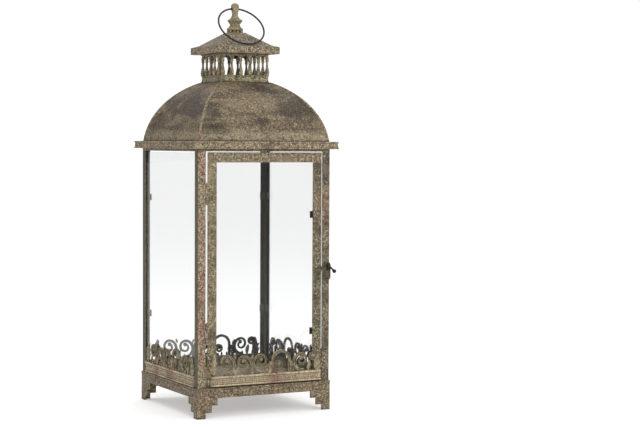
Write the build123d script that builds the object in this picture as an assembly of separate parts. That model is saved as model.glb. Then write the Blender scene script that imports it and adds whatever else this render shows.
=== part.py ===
from build123d import *
import math
import os

# Square four-post candle lantern with a hinged glazed door, a domed lid with a
# chimney gallery, a pyramid cap and a carrying ring.  Millimetres.  +Z is up, the
# door faces -Y, and the origin is the middle of the footprint at floor level.

# ---------------------------------------------------------------- driving sizes
TOTAL_H = 660.0        # floor to the tip of the finial
POST_HALF = 115.5      # half the width over the corner posts
POST_LEG = 13.0        # width of one leg of a corner angle
SHEET = 1.5            # wall of the angles and the skirt
THIN = 1.2             # wall of the lid's pressed sheets

SKIRT_HALF = 117.0
SKIRT_Z = 31.5         # lower edge of the skirt, which is also the height of the feet
SKIRT_TOP = 47.5
FLANGE_HALF = 102.0    # inner edge of the flange that the posts and the floor stand on
FLOOR_HALF = 100.0     # the candle floor's pressed-up middle, and its height
FLOOR_RISE = 1.0

FOOT_WALL = 3.0
FOOT_STEPS = [(35.0, 20.5, 31.5), (25.0, 9.2, 20.5), (14.5, 0.0, 9.2)]  # reach, low, high
FOOT_TAB = 20.0        # reach and height of the tab that goes up inside the skirt
FOOT_TAB_H = 12.5

POST_TOP = 418.0
FRAME_TOP = 422.0
CORNICE_TOP = 434.0
CORNICE_HALF = 126.0   # at its lower edge, which flares a little
CORNICE_TOP_HALF = 125.0
CORNICE_HOLE = 106.0

DOME_FOOT = 114.0      # half width of the dome where it meets the cornice
DOME_RIM = 42.0        # half width of its opening under the gallery
DOME_TOP = 530.0
DOME_R = 118.0         # radius of each curved panel
SEAM_HALF = 2.0        # the lapped hip seams: half their width, and their height
SEAM_H = 0.9

GALLERY_HALF = 41.0
GALLERY_WALL = 3.0
GALLERY_TOP = 576.0
BAND_TOP = 541.0
ARCH_Z = 568.5
BALUSTER_GAPS = 5      # spaces between balusters on one side

CAP_HALF = 54.5
CAP_HOLE = 36.0
EAVE_Z = 586.5
EAVE_BREAK = 44.0      # half width where the eave's kick turns into the slope
EAVE_BREAK_Z = 590.9
ROOF_TOP = 611.4
ROOF_TOP_HALF = 13.0

VENT_R = 13.0
VENT_BORE = 10.5
VENT_HOLES = 12
FINIAL_Z = 616.0       # the finial's profile goes up from here
FINIAL_FOOT_R = 13.3
FINIAL_FOOT_TOP = 2.6
COVE_R = 8.2
COVE_TOP = 9.0
COLLAR_R = 12.3
COLLAR_LOW = 14.6
COLLAR_TOP = 16.0
NECK_R = 4.9
NECK_LOW = 25.0
NECK_TOP = 29.5
KNOB_LOW = 31.5
KNOB_FOOT_R = 6.2
KNOB_R = 6.5
KNOB_CROWN = 4.0       # height of the knob's domed top
RING_Z = 650.5         # height of the ring's hole through the knob
RING_HOLE_R = 2.4
STUD_R = 2.0

RING_R = 39.0          # carrying ring, to the middle of its wire
WIRE_R = 1.45
RING_LEAN = 40.0       # degrees between the resting ring and the vertical
RING_RISE = 0.28       # keeps the curved wire centred along the straight hole

DOOR_LEFT = -98.9
DOOR_RIGHT = 100.9
DOOR_LOW = 49.2
DOOR_HIGH = 416.8
DOOR_WALL = 2.0
STILE = 15.0
RAIL_TOP = 16.0
RAIL_LOW = 17.0

GLASS = 2.0
PANE_HALF = 109.0
PANE_LOW = 48.7
PANE_HIGH = 416.0
DOOR_PANE_LAP = 5.0    # how far the door's pane reaches behind its frame
DOOR_PANE_LOW = 60.0
DOOR_PANE_HIGH = 407.0

TAB_H = 11.0           # the folded tabs that hold the glass
TAB_T = 1.0
TAB_LIP = 9.8
BODY_TAB_Z = (340.0, 145.0)
DOOR_TAB_Z = (317.0, 129.0)
HINGE_TAB_Z = (317.0, 164.0)   # clear of the lower hinge's flange
HINGE_TAB_LIP = 5.0            # short enough to stay behind the stile

HINGE_X = -100.7
HINGE_Y = -116.4
HINGE_Z = (352.0, 133.0)
KNUCKLE_R = 1.5
PIN_R = 0.8
PIN_FIT = 0.05         # radial clearance of a hinge pin
HINGE_H = 33.0
KNUCKLE_GAP = 0.35

PIVOT_X = 112.2
PIVOT_Z = 234.5
PIVOT_R = 1.5
PIVOT_FIT = 0.06
PLATE_T = 1.2
LEVER_BACK = -118.7    # the lever turns just in front of the keeper's arm
LEVER_T = 1.4
BALL_R = 3.2
BALL_X = 122.3
BALL_Y = -120.6
BALL_Z = 224.8
NOSE_REACH = 6.0       # pivot to the middle of the nose's round end
NOSE_R = 2.4
NOSE_ANGLE = 268.0     # degrees from +X, in the plane of the lever
RIVET_R = 1.0
PLATE_W = 11.2         # the latch's plate, round at both ends
PLATE_H = 30.0
PLATE_X = 112.0
PLATE_Z = 225.0
PLATE_RIVETS = [(111.2, 213.2), (111.4, 227.6)]
KEEPER_LEFT = 91.2     # the door's keeper: a plate, a neck and an arm to the right
KEEPER_RIGHT = 100.4
KEEPER_LOW = 210.0
KEEPER_WAIST = 224.0
KEEPER_HIGH = 233.6
KEEPER_NECK = 94.6
KEEPER_RIVETS = [(95.8, 213.4), (95.8, 220.6)]
ARM_RIGHT = 108.4
ARM_LOW = 225.5
ARM_HIGH = 233.0
ARM_T = 1.0
ARM_STEP = 0.5         # how far the arm stands off in front of the plate

SCROLL_T = 2.0
SCROLL_BAR = 4.4       # width of a scroll's bar
SCROLL_SHRINK = 0.64   # each half turn of a scroll against the one before
SCROLL_BASE = 66.0     # top of the band that the scrolls stand on
SCROLLS = [            # x, height over the band, radius, start angle, hand, half turns
    (-68.0, 16.5, 14.0, 255.0, 1, 3),
    (-37.5, 14.6, 13.8, 270.0, 1, 3),
    (-7.0, 15.0, 14.2, 270.0, -1, 3),
    (24.0, 9.4, 8.2, 270.0, -1, 3),
    (47.0, 8.2, 7.0, 270.0, 1, 3),
    (66.5, 14.6, 13.2, 285.0, -1, 3),
    (86.0, 20.0, 7.6, 285.0, 1, 3),
]
LEAVES = [             # x, height over the band, length, lean
    (-89.0, 14.0, 42.0, 84.0),
    (-53.0, 5.0, 20.0, 115.0),
    (9.5, 8.0, 24.0, 80.0),
    (87.0, 6.0, 26.0, 100.0),
    (-22.5, 3.0, 16.0, 90.0),
]
ARCH_X = 28.5          # the tall arch in the scrollwork
ARCH_R = 15.0
ARCH_SPRING = 19.0
ARCH_FOOT = 1.0        # how far the arch's legs go down into the band
RIB = 0.8              # the raised mouldings along the band
RIB_HALF = 0.9
RIB_UP = (1.2, 6.4)    # the lower two, over the foot of the band
RIB_DOWN = 1.6         # the upper one, under its top

FRONT = -POST_HALF
POST_INNER = POST_HALF - SHEET
SIDES = ("front", "right", "back", "left")


# ---------------------------------------------------------------- helpers
def block(x0, x1, y0, y1, z0, z1):
    """A rectangular block between two corners."""
    return Pos((x0 + x1) / 2, (y0 + y1) / 2, (z0 + z1) / 2) * Box(x1 - x0, y1 - y0, z1 - z0)


def square_ring(outer, inner, low, high):
    """A square frame, given by its half widths."""
    return block(-outer, outer, -outer, outer, low, high) - block(
        -inner, inner, -inner, inner, low - 1, high + 1
    )


def frustum(half_low, low, half_high, high):
    """A square block whose width changes with height."""
    return loft([
        Pos(0, 0, low) * Rectangle(2 * half_low, 2 * half_low),
        Pos(0, 0, high) * Rectangle(2 * half_high, 2 * half_high),
    ])


def turned(shape, quarter):
    """The same shape on another side of the lantern, counted from the front."""
    return Rot(0, 0, 90 * quarter) * shape


def rod_y(radius, x, z, y0, y1):
    """A round bar along Y."""
    return Pos(x, (y0 + y1) / 2, z) * Rot(90, 0, 0) * Cylinder(radius, abs(y1 - y0))


def rod_z(radius, x, y, z0, z1):
    """A round bar along Z."""
    return Pos(x, y, (z0 + z1) / 2) * Cylinder(radius, z1 - z0)


def wedge(reach, low, high):
    """The quarter of space in front of the axis, between the two diagonals."""
    corners = Polyline((0, 0), (reach, -reach), (-reach, -reach), (0, 0))
    return extrude(Pos(0, 0, low) * make_face(corners), high - low)


def save(name, *solids):
    """Write one node, a single solid or a group of separate ones."""
    shape = solids[0] if len(solids) == 1 else Compound(list(solids))
    export_step(shape, os.path.join("parts", name + ".step"))


# ---------------------------------------------------------------- base
def foot():
    """A stepped corner foot at the front left, with a tab inside the skirt."""
    def angle(reach, half, low, high):
        x = -half
        outer = block(x, x + reach, x, x + reach, low, high)
        return outer - block(x + FOOT_WALL, x + reach + 1, x + FOOT_WALL, x + reach + 1, low - 1, high + 1)

    shape = angle(FOOT_TAB, SKIRT_HALF - SHEET, SKIRT_Z, SKIRT_Z + FOOT_TAB_H)
    for reach, low, high in FOOT_STEPS:
        shape += angle(reach, SKIRT_HALF, low, high)
    return shape


def base_skirt():
    """The skirt with the inward flange along its top edge."""
    wall = square_ring(SKIRT_HALF, SKIRT_HALF - SHEET, SKIRT_Z, SKIRT_TOP)
    flange = square_ring(SKIRT_HALF, FLANGE_HALF, SKIRT_TOP - SHEET, SKIRT_TOP)
    return wall + flange


def floor_plate():
    """The candle floor, which lies on the flange and is pressed up in the middle."""
    half = POST_INNER - 0.5
    top = SKIRT_TOP + THIN
    plate = block(-half, half, -half, half, SKIRT_TOP, top)
    plate += frustum(FLOOR_HALF + FLOOR_RISE, top, FLOOR_HALF, top + FLOOR_RISE)
    return plate - frustum(FLOOR_HALF, SKIRT_TOP, FLOOR_HALF - FLOOR_RISE, SKIRT_TOP + FLOOR_RISE)


# ---------------------------------------------------------------- frame
def post():
    """The front left corner angle."""
    x = -POST_HALF
    shape = block(x, x + POST_LEG, x, x + POST_LEG, SKIRT_TOP, POST_TOP)
    return shape - block(-POST_INNER, 0, -POST_INNER, 0, 0, TOTAL_H)


def cornice():
    """A pressed channel moulding round the top of the frame."""
    shape = frustum(CORNICE_HALF, FRAME_TOP, CORNICE_TOP_HALF, CORNICE_TOP)
    inside = frustum(
        CORNICE_HALF - SHEET, FRAME_TOP + SHEET, CORNICE_TOP_HALF - SHEET, CORNICE_TOP - SHEET
    )
    hole = block(-CORNICE_HOLE, CORNICE_HOLE, -CORNICE_HOLE, CORNICE_HOLE, 0, TOTAL_H)
    return shape - inside - hole


# ---------------------------------------------------------------- dome
def dome_centre():
    """Middle of the panel's circle, in distance from the axis and height."""
    run = DOME_FOOT - DOME_RIM
    rise = DOME_TOP - CORNICE_TOP
    chord = math.hypot(run, rise)
    depth = math.sqrt(DOME_R ** 2 - (chord / 2) ** 2)
    out = (DOME_FOOT + DOME_RIM) / 2 - depth * rise / chord
    up = (CORNICE_TOP + DOME_TOP) / 2 - depth * run / chord
    return out, up


def curved_wall(inner_r, outer_r):
    """The front quarter of a square dome, between two radii."""
    out, up = dome_centre()
    length = 4 * DOME_FOOT
    tube = Cylinder(outer_r, length) - Cylinder(inner_r, length + 2)
    tube = Pos(0, -out, up) * Rot(0, 90, 0) * tube
    return tube & wedge(2 * DOME_FOOT, CORNICE_TOP, DOME_TOP)


def dome_seam():
    """The lapped strip over the hip at the front left corner."""
    layer = curved_wall(DOME_R, DOME_R + SEAM_H)
    layer += turned(layer, 3)
    reach = 2 * DOME_FOOT
    slab = Rot(0, 0, 45) * block(-reach, 0, -SEAM_HALF, SEAM_HALF, CORNICE_TOP, DOME_TOP)
    return layer & slab


# ---------------------------------------------------------------- gallery
def baluster(u):
    """A small turned column on the front side."""
    foot_z = BAND_TOP - 0.5
    outline = Spline(
        (2.6, foot_z), (3.6, foot_z + 6.5), (2.0, foot_z + 13), (2.1, foot_z + 23), (3.2, ARCH_Z + 1.5)
    )
    edge = Polyline((3.2, ARCH_Z + 1.5), (0, ARCH_Z + 1.5), (0, foot_z), (2.6, foot_z))
    profile = Plane.XZ * make_face(Curve() + outline + edge)
    return Pos(u, -(GALLERY_HALF - GALLERY_WALL / 2), 0) * revolve(profile, Axis.Z)


def gallery_side(half, with_corners):
    """One pierced side of the chimney gallery, facing the front."""
    y0, y1 = -GALLERY_HALF, -GALLERY_HALF + GALLERY_WALL
    pitch = 2 * (GALLERY_HALF - GALLERY_WALL / 2) / BALUSTER_GAPS
    side = block(-half, half, y0, y1, DOME_TOP, BAND_TOP)
    side += block(-half, half, y0, y1, ARCH_Z, GALLERY_TOP)
    for i in range(BALUSTER_GAPS):
        u = (i - (BALUSTER_GAPS - 1) / 2) * pitch
        side -= rod_y(pitch / 2 - 2.7, u, ARCH_Z, y0 - 1, y1 + 1)
        side -= rod_y(1.4, u, BAND_TOP - 2.4, y0 - 1, y1 + 1)
    for i in range(BALUSTER_GAPS + 1):
        at_corner = i in (0, BALUSTER_GAPS)
        column = baluster((i - BALUSTER_GAPS / 2) * pitch)
        if with_corners or not at_corner:
            side += column
        else:
            side -= column
    return side


# ---------------------------------------------------------------- cap and finial
def cap_roof():
    """The bell-cast pyramid, a thin shell with a flat top for the vent collar."""
    outer = [(CAP_HALF, EAVE_Z), (CAP_HALF, EAVE_Z + THIN)]
    inner_break = (EAVE_BREAK, EAVE_BREAK_Z - 1.4)
    top_in = (ROOF_TOP_HALF, ROOF_TOP - 1.4)
    kick = ThreePointArc(
        outer[1], ((CAP_HALF + EAVE_BREAK) / 2, EAVE_Z + 2.4), (EAVE_BREAK, EAVE_BREAK_Z)
    )
    rest = Polyline(
        (EAVE_BREAK, EAVE_BREAK_Z), (ROOF_TOP_HALF, ROOF_TOP), top_in, inner_break, outer[0], outer[1]
    )
    profile = Plane.YZ * make_face(Curve() + kick + rest)
    bar = Pos(-2 * CAP_HALF, 0, 0) * extrude(profile, 4 * CAP_HALF)
    side = mirror(bar, Plane.XZ) & wedge(2 * CAP_HALF, EAVE_Z - 1, ROOF_TOP + 1)
    roof = side
    for quarter in (1, 2, 3):
        roof += turned(side, quarter)
    top = block(
        -ROOF_TOP_HALF, ROOF_TOP_HALF, -ROOF_TOP_HALF, ROOF_TOP_HALF, ROOF_TOP - THIN, ROOF_TOP
    )
    return roof + top - rod_z(VENT_BORE, 0, 0, EAVE_Z, TOTAL_H)


def vent_collar():
    """The ring of smoke holes under the finial."""
    collar = rod_z(VENT_R, 0, 0, ROOF_TOP, FINIAL_Z) - rod_z(VENT_BORE, 0, 0, 0, TOTAL_H)
    mid = (ROOF_TOP + FINIAL_Z) / 2
    for i in range(VENT_HOLES // 2):
        drill = Pos(0, 0, mid) * Rot(90, 0, 0) * Cylinder(1.5, 4 * VENT_R)
        collar -= Rot(0, 0, 360 * i / VENT_HOLES + 15) * drill
    return collar


def finial():
    """The turned finial, drilled crosswise for the ring and from below for its stud."""
    def up(height):
        return FINIAL_Z + height

    foot_top = (FINIAL_FOOT_R, up(FINIAL_FOOT_TOP))
    cove_top = (COVE_R, up(COVE_TOP))
    collar_top = (COLLAR_R, up(COLLAR_TOP))
    neck_low = (NECK_R, up(NECK_LOW))
    knob_low = (KNOB_FOOT_R, up(KNOB_LOW))
    knob_top = (KNOB_R, TOTAL_H - KNOB_CROWN)
    low = Polyline((0, FINIAL_Z), (FINIAL_FOOT_R, FINIAL_Z), foot_top)
    cove = ThreePointArc(foot_top, (COVE_R + 1.4, up(2 * FINIAL_FOOT_TOP)), cove_top)
    collar = Polyline(cove_top, (COLLAR_R, up(COLLAR_LOW)), collar_top)
    sweep_up = ThreePointArc(collar_top, (NECK_R + 2.3, up(COLLAR_TOP + 3.6)), neck_low)
    neck = Polyline(neck_low, (NECK_R, up(NECK_TOP)), knob_low)
    crown = (KNOB_R ** 2 + KNOB_CROWN ** 2) / (2 * KNOB_CROWN)
    half_way = math.asin(KNOB_R / crown) / 2
    tip_mid = (crown * math.sin(half_way), TOTAL_H - crown * (1 - math.cos(half_way)))
    tip = ThreePointArc(knob_top, tip_mid, (0, TOTAL_H))
    core = Line((0, TOTAL_H), (0, FINIAL_Z))
    outline = Curve() + low + cove + collar + sweep_up + neck + Line(knob_low, knob_top) + tip + core
    body = revolve(Plane.XZ * make_face(outline), Axis.Z)
    cross = Pos(0, 0, RING_Z) * Rot(0, 90, 0) * Cylinder(RING_HOLE_R, 4 * KNOB_R)
    return body - cross - rod_z(STUD_R, 0, 0, FINIAL_Z - 1, FINIAL_Z + 10)


def cap_bridge():
    """The strap across the top of the gallery that the stud pulls against."""
    half = GALLERY_HALF - GALLERY_WALL
    strap = block(-half, half, -6, 6, GALLERY_TOP - 2, GALLERY_TOP)
    return strap - rod_z(STUD_R, 0, 0, 0, TOTAL_H)


def finial_nut():
    """A hexagon nut under the strap."""
    nut = Pos(0, 0, GALLERY_TOP - 5.2) * extrude(RegularPolygon(4.0, 6), 3.2)
    return nut - rod_z(STUD_R, 0, 0, 0, TOTAL_H)


def carry_ring():
    """The wire ring through the knob, leaning forward onto the roof."""
    reach = RING_R - RING_RISE
    lean = math.radians(RING_LEAN)
    centre = Pos(0, -reach * math.sin(lean), RING_Z - reach * math.cos(lean))
    return centre * Rot(90 - RING_LEAN, 0, 0) * Torus(RING_R, WIRE_R)


# ---------------------------------------------------------------- scrollwork
def half_ring(x, z, radius, start):
    """Half of a flat ring, turning anticlockwise from the start angle."""
    outer = radius + SCROLL_BAR / 2
    ring = Circle(outer) - Circle(radius - SCROLL_BAR / 2)
    upper = ring & Pos(0, outer) * Rectangle(2 * outer, 2 * outer)
    return Pos(x, z) * Rot(0, 0, start) * upper


def scroll(x, z, radius, start, hand, halves=4):
    """A spiral of half rings that shrink inwards to a round eye."""
    shape = Sketch()
    angle = start
    while halves > 0:
        shape += half_ring(x, z, radius, angle if hand > 0 else angle - 180)
        smaller = radius * SCROLL_SHRINK
        x += (smaller - radius) * math.cos(math.radians(angle))
        z += (smaller - radius) * math.sin(math.radians(angle))
        radius = smaller
        angle += 180
        halves -= 1
    eye_x = x + radius * math.cos(math.radians(angle))
    eye_z = z + radius * math.sin(math.radians(angle))
    return shape + Pos(eye_x, eye_z) * Circle(SCROLL_BAR * 0.85)


def leaf(x, z, length, angle):
    """A plain leaf between the scrolls."""
    return Pos(x, z) * Rot(0, 0, angle) * Ellipse(length / 2, length / 5)


def scroll_sheet(left, right, low):
    """The flat outline of a scroll panel: a band with scrolls and leaves on it."""
    sheet = Pos((left + right) / 2, (low + SCROLL_BASE) / 2) * Rectangle(
        right - left, SCROLL_BASE - low
    )
    for x, height, radius, start, hand, halves in SCROLLS:
        sheet += scroll(x, SCROLL_BASE + height, radius, start, hand, halves)
    for x, height, length, lean in LEAVES:
        sheet += leaf(x, SCROLL_BASE + height, length, lean)
    sheet += half_ring(ARCH_X, SCROLL_BASE + ARCH_SPRING, ARCH_R, 0)
    leg = ARCH_SPRING + ARCH_FOOT
    for x in (ARCH_X - ARCH_R, ARCH_X + ARCH_R):
        sheet += Pos(x, SCROLL_BASE - ARCH_FOOT + leg / 2) * Rectangle(SCROLL_BAR, leg)
    return sheet


def scroll_panel(left, right, low, face):
    """A scroll panel whose back lies at the given distance in front of the axis."""
    panel = extrude(Plane.XZ.offset(face) * scroll_sheet(left, right, low), SCROLL_T)
    front = -face - SCROLL_T
    for z in (low + RIB_UP[0], low + RIB_UP[1], SCROLL_BASE - RIB_DOWN):
        panel += block(left, right, front - RIB, front, z - RIB_HALF, z + RIB_HALF)
    return panel


# ---------------------------------------------------------------- glass
def body_pane():
    """A fixed pane behind the front pair of post legs, turned to its own side."""
    y = -POST_INNER
    return block(-PANE_HALF, PANE_HALF, y, y + GLASS, PANE_LOW, PANE_HIGH)


def folded_tab(edge, back, side, z, lip_reach=TAB_LIP):
    """A tab that wraps over a pane's edge: foot, riser and lip."""
    lip_back = back + GLASS + TAB_T
    low, high = z - TAB_H / 2, z + TAB_H / 2
    x_out = edge + side * (TAB_T + 3.0)
    x_riser = edge + side * TAB_T
    x_lip = x_riser - side * lip_reach
    foot_part = block(min(edge, x_out), max(edge, x_out), back, back + TAB_T, low, high)
    riser = block(min(edge, x_riser), max(edge, x_riser), back, lip_back, low, high)
    lip = block(min(x_lip, x_riser), max(x_lip, x_riser), lip_back - TAB_T, lip_back, low, high)
    return foot_part + riser + lip


# ---------------------------------------------------------------- door
def door_pane_edges():
    """The left and right edges of the door's glass."""
    return DOOR_LEFT + STILE - DOOR_PANE_LAP, DOOR_RIGHT - STILE + DOOR_PANE_LAP


def drill(shape, places):
    """Rivet holes along Y through everything at the front."""
    for x, z in places:
        shape -= rod_y(RIVET_R, x, z, FRONT - 10, FRONT + 10)
    return shape


def door_stile(left):
    """One upright of the door's frame, between its two rails."""
    back = FRONT + DOOR_WALL
    return block(left, left + STILE, FRONT, back, DOOR_LOW + RAIL_LOW, DOOR_HIGH - RAIL_TOP)


def door_rail(low, high):
    """A rail across the whole width of the door."""
    return block(DOOR_LEFT, DOOR_RIGHT, FRONT, FRONT + DOOR_WALL, low, high)


# ---------------------------------------------------------------- hinges
def knuckle_spans(middle):
    """Heights of the post's two knuckles and of the door's knuckle between them."""
    third = HINGE_H / 3
    low = middle - HINGE_H / 2
    post_spans = [(low, low + third), (low + 2 * third, low + HINGE_H)]
    door_span = (low + third + KNUCKLE_GAP, low + 2 * third - KNUCKLE_GAP)
    return post_spans, door_span


def knuckle(low, high):
    """A rolled knuckle, before it is bored for the pin."""
    return rod_z(KNUCKLE_R, HINGE_X, HINGE_Y, low, high)


def hinge_leaf(spans, strip_x, flange_x, flange_y, middle):
    """Knuckles, the strip through the door's gap, and the flange behind the metal."""
    low, high = middle - HINGE_H / 2, middle + HINGE_H / 2
    leaf_shape = block(*sorted(flange_x), flange_y, flange_y + TAB_T, low, high)
    for z0, z1 in spans:
        leaf_shape += knuckle(z0, z1)
        leaf_shape += block(*sorted(strip_x), HINGE_Y, flange_y + TAB_T, z0, z1)
    return leaf_shape - rod_z(PIN_R + PIN_FIT, HINGE_X, HINGE_Y, low - 1, high + 1)


def hinge_pin(middle):
    """A headed pin, upset at its lower end."""
    low, high = middle - HINGE_H / 2, middle + HINGE_H / 2
    pin = rod_z(PIN_R, HINGE_X, HINGE_Y, low - 0.9, high + 0.9)
    for z0, z1 in ((high, high + 0.9), (low - 0.9, low)):
        pin += rod_z(1.3, HINGE_X, HINGE_Y, z0, z1)
    return pin


# ---------------------------------------------------------------- latch
def latch_plate():
    """The oblong plate with round ends on the right front post."""
    outline = Pos(PLATE_X, PLATE_Z) * Rot(0, 0, 90) * SlotOverall(PLATE_H, PLATE_W)
    plate = extrude(Plane.XZ.offset(POST_HALF) * outline, PLATE_T)
    return drill(plate, PLATE_RIVETS) - rod_y(PIVOT_R, PIVOT_X, PIVOT_Z, -200, -100)


def latch_pivot():
    """The shouldered rivet that the lever turns on."""
    lever_front = LEVER_BACK - LEVER_T
    pivot = rod_y(PIVOT_R, PIVOT_X, PIVOT_Z, -POST_INNER, lever_front - 0.4)
    pivot += rod_y(2.4, PIVOT_X, PIVOT_Z, FRONT - PLATE_T, LEVER_BACK + 0.3)
    pivot += rod_y(2.7, PIVOT_X, PIVOT_Z, lever_front - 0.3, lever_front - 1.3)
    return pivot


def latch_lever():
    """The turning catch: a hub, a nose that covers the keeper's arm, and a ball handle."""
    nose = math.radians(NOSE_ANGLE)
    nose_x = PIVOT_X + NOSE_REACH * math.cos(nose)
    nose_z = PIVOT_Z + NOSE_REACH * math.sin(nose)
    front = LEVER_BACK - LEVER_T
    lever = rod_y(3.2, PIVOT_X, PIVOT_Z, LEVER_BACK, front)
    lever += rod_y(NOSE_R, nose_x, nose_z, LEVER_BACK, front)
    mid = Pos((PIVOT_X + nose_x) / 2, (LEVER_BACK + front) / 2, (PIVOT_Z + nose_z) / 2)
    lever += mid * Rot(0, 90 - NOSE_ANGLE, 0) * Box(2 * NOSE_R, LEVER_T, NOSE_REACH)
    start = Vector(PIVOT_X + 2.2, BALL_Y + 0.4, PIVOT_Z - 2.1)
    end = Vector(BALL_X, BALL_Y, BALL_Z)
    path = Line(start, end)
    bar = sweep(Plane(origin=start, z_dir=end - start) * Circle(1.5), path=path)
    lever += bar
    lever += Pos(BALL_X, BALL_Y, BALL_Z) * Sphere(BALL_R)
    bore = rod_y(PIVOT_R + PIVOT_FIT, PIVOT_X, PIVOT_Z, -130, -110)
    seat = rod_y(3.1, PIVOT_X, PIVOT_Z, front, front - 5)
    return lever - bore - seat


def door_keeper():
    """The plate on the door and its arm, which reaches across the gap to the latch."""
    plate_front = FRONT - PLATE_T
    arm_back = plate_front - ARM_STEP
    keeper = block(KEEPER_LEFT, KEEPER_RIGHT, plate_front, FRONT, KEEPER_LOW, KEEPER_WAIST)
    keeper += block(KEEPER_NECK, KEEPER_RIGHT, plate_front, FRONT, KEEPER_WAIST, KEEPER_HIGH)
    keeper += block(KEEPER_NECK, KEEPER_RIGHT - 0.8, arm_back, plate_front, ARM_LOW, ARM_HIGH)
    keeper += block(KEEPER_NECK, ARM_RIGHT, arm_back - ARM_T, arm_back, ARM_LOW, ARM_HIGH)
    return drill(keeper, KEEPER_RIVETS)


def rivet(x, z, back):
    """A round-headed rivet through a plate at the front."""
    shank = rod_y(RIVET_R, x, z, FRONT - PLATE_T, back)
    head = Pos(x, FRONT - PLATE_T, z) * Rot(90, 0, 0) * Cone(1.9, 1.1, 0.9, align=(
        Align.CENTER, Align.CENTER, Align.MIN
    ))
    return shank + head


# ---------------------------------------------------------------- build every node
CORNERS = ("front_left", "front_right", "back_right", "back_left")

save("base_skirt", base_skirt())
save("floor_plate", floor_plate())
for quarter, corner in enumerate(CORNERS):
    save("foot_" + corner, turned(foot(), quarter))
    leg = turned(post(), quarter)
    if corner == "front_right":
        leg = drill(leg, PLATE_RIVETS) - rod_y(PIVOT_R, PIVOT_X, PIVOT_Z, -200, -100)
    save("post_" + corner, leg)
save("top_frame", square_ring(POST_HALF, POST_HALF - POST_LEG, POST_TOP, FRAME_TOP))
save("cornice", cornice())

panel = curved_wall(DOME_R - THIN, DOME_R)
for quarter, side in enumerate(SIDES):
    save("dome_panel_" + side, turned(panel, quarter))
    full = quarter % 2 == 0
    half = GALLERY_HALF if full else GALLERY_HALF - GALLERY_WALL
    save("gallery_" + side, turned(gallery_side(half, full), quarter))
save("dome_seams", *[turned(dome_seam(), quarter) for quarter in range(4)])

save("cap_soffit", square_ring(CAP_HALF - SHEET, CAP_HOLE, GALLERY_TOP, GALLERY_TOP + THIN))
save("cap_fascia", square_ring(CAP_HALF, CAP_HALF - SHEET, GALLERY_TOP, EAVE_Z))
save("cap_roof", cap_roof())
save("cap_bridge", cap_bridge())
save("vent_collar", vent_collar())
save("finial", finial())
save("finial_stud", rod_z(STUD_R, 0, 0, GALLERY_TOP - 7, FINIAL_Z + 10))
save("finial_nut", finial_nut())
save("carry_ring", carry_ring())

panel_half = POST_HALF - POST_LEG
for quarter, side in ((1, "right"), (2, "back"), (3, "left")):
    scrolls = scroll_panel(-panel_half, panel_half, SKIRT_TOP, POST_INNER)
    if side == "back":
        scrolls = mirror(scrolls, Plane.YZ)
    save("scroll_panel_" + side, turned(scrolls, quarter))
    save("glass_" + side, turned(body_pane(), quarter))
    tabs = [
        turned(folded_tab(edge * PANE_HALF, -POST_INNER, edge, z), quarter)
        for edge in (-1, 1)
        for z in BODY_TAB_Z
    ]
    save("glass_tabs_" + side, *tabs)

save("door_top_rail", door_rail(DOOR_HIGH - RAIL_TOP, DOOR_HIGH))
save("door_bottom_rail", door_rail(DOOR_LOW, DOOR_LOW + RAIL_LOW))
save("door_stile_hinge", door_stile(DOOR_LEFT))
save("door_stile_latch", drill(door_stile(DOOR_RIGHT - STILE), KEEPER_RIVETS))
save("door_scroll_panel", scroll_panel(DOOR_LEFT + 2, DOOR_RIGHT - 1, DOOR_LOW, POST_HALF))
pane_left, pane_right = door_pane_edges()
door_back = FRONT + DOOR_WALL
save("door_glass", block(
    pane_left, pane_right, door_back, door_back + GLASS, DOOR_PANE_LOW, DOOR_PANE_HIGH
))
save("door_glass_tabs", *[
    folded_tab(edge, door_back, side, z, reach)
    for edge, side, reach, heights in (
        (pane_left, -1, HINGE_TAB_LIP, HINGE_TAB_Z), (pane_right, 1, TAB_LIP, DOOR_TAB_Z)
    )
    for z in heights
])

post_edge = -POST_HALF + POST_LEG
for label, middle in zip(("upper", "lower"), HINGE_Z):
    post_spans, door_span = knuckle_spans(middle)
    save(label + "_hinge_post_leaf", hinge_leaf(
        post_spans, (post_edge, post_edge + 0.8), (post_edge + 0.8, -110.4), -POST_INNER, middle
    ))
    save(label + "_hinge_door_leaf", hinge_leaf(
        [door_span], (DOOR_LEFT - 0.8, DOOR_LEFT), (DOOR_LEFT - 0.8, -92.0), door_back, middle
    ))
    save(label + "_hinge_pin", hinge_pin(middle))

save("latch_plate", latch_plate())
save("latch_rivets", *[rivet(x, z, -POST_INNER) for x, z in PLATE_RIVETS])
save("latch_pivot", latch_pivot())
save("latch_lever", latch_lever())
save("door_keeper", door_keeper())
save("keeper_rivets", *[rivet(x, z, door_back) for x, z in KEEPER_RIVETS])
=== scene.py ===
"""The looks of a square candle lantern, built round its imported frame.

Lengths are in metres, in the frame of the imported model: +Z is up and the door faces -Y.
"""

import logging
import math
from dataclasses import dataclass, field
from enum import Enum

import bmesh
import bpy
from mathutils import Matrix, Vector


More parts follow.
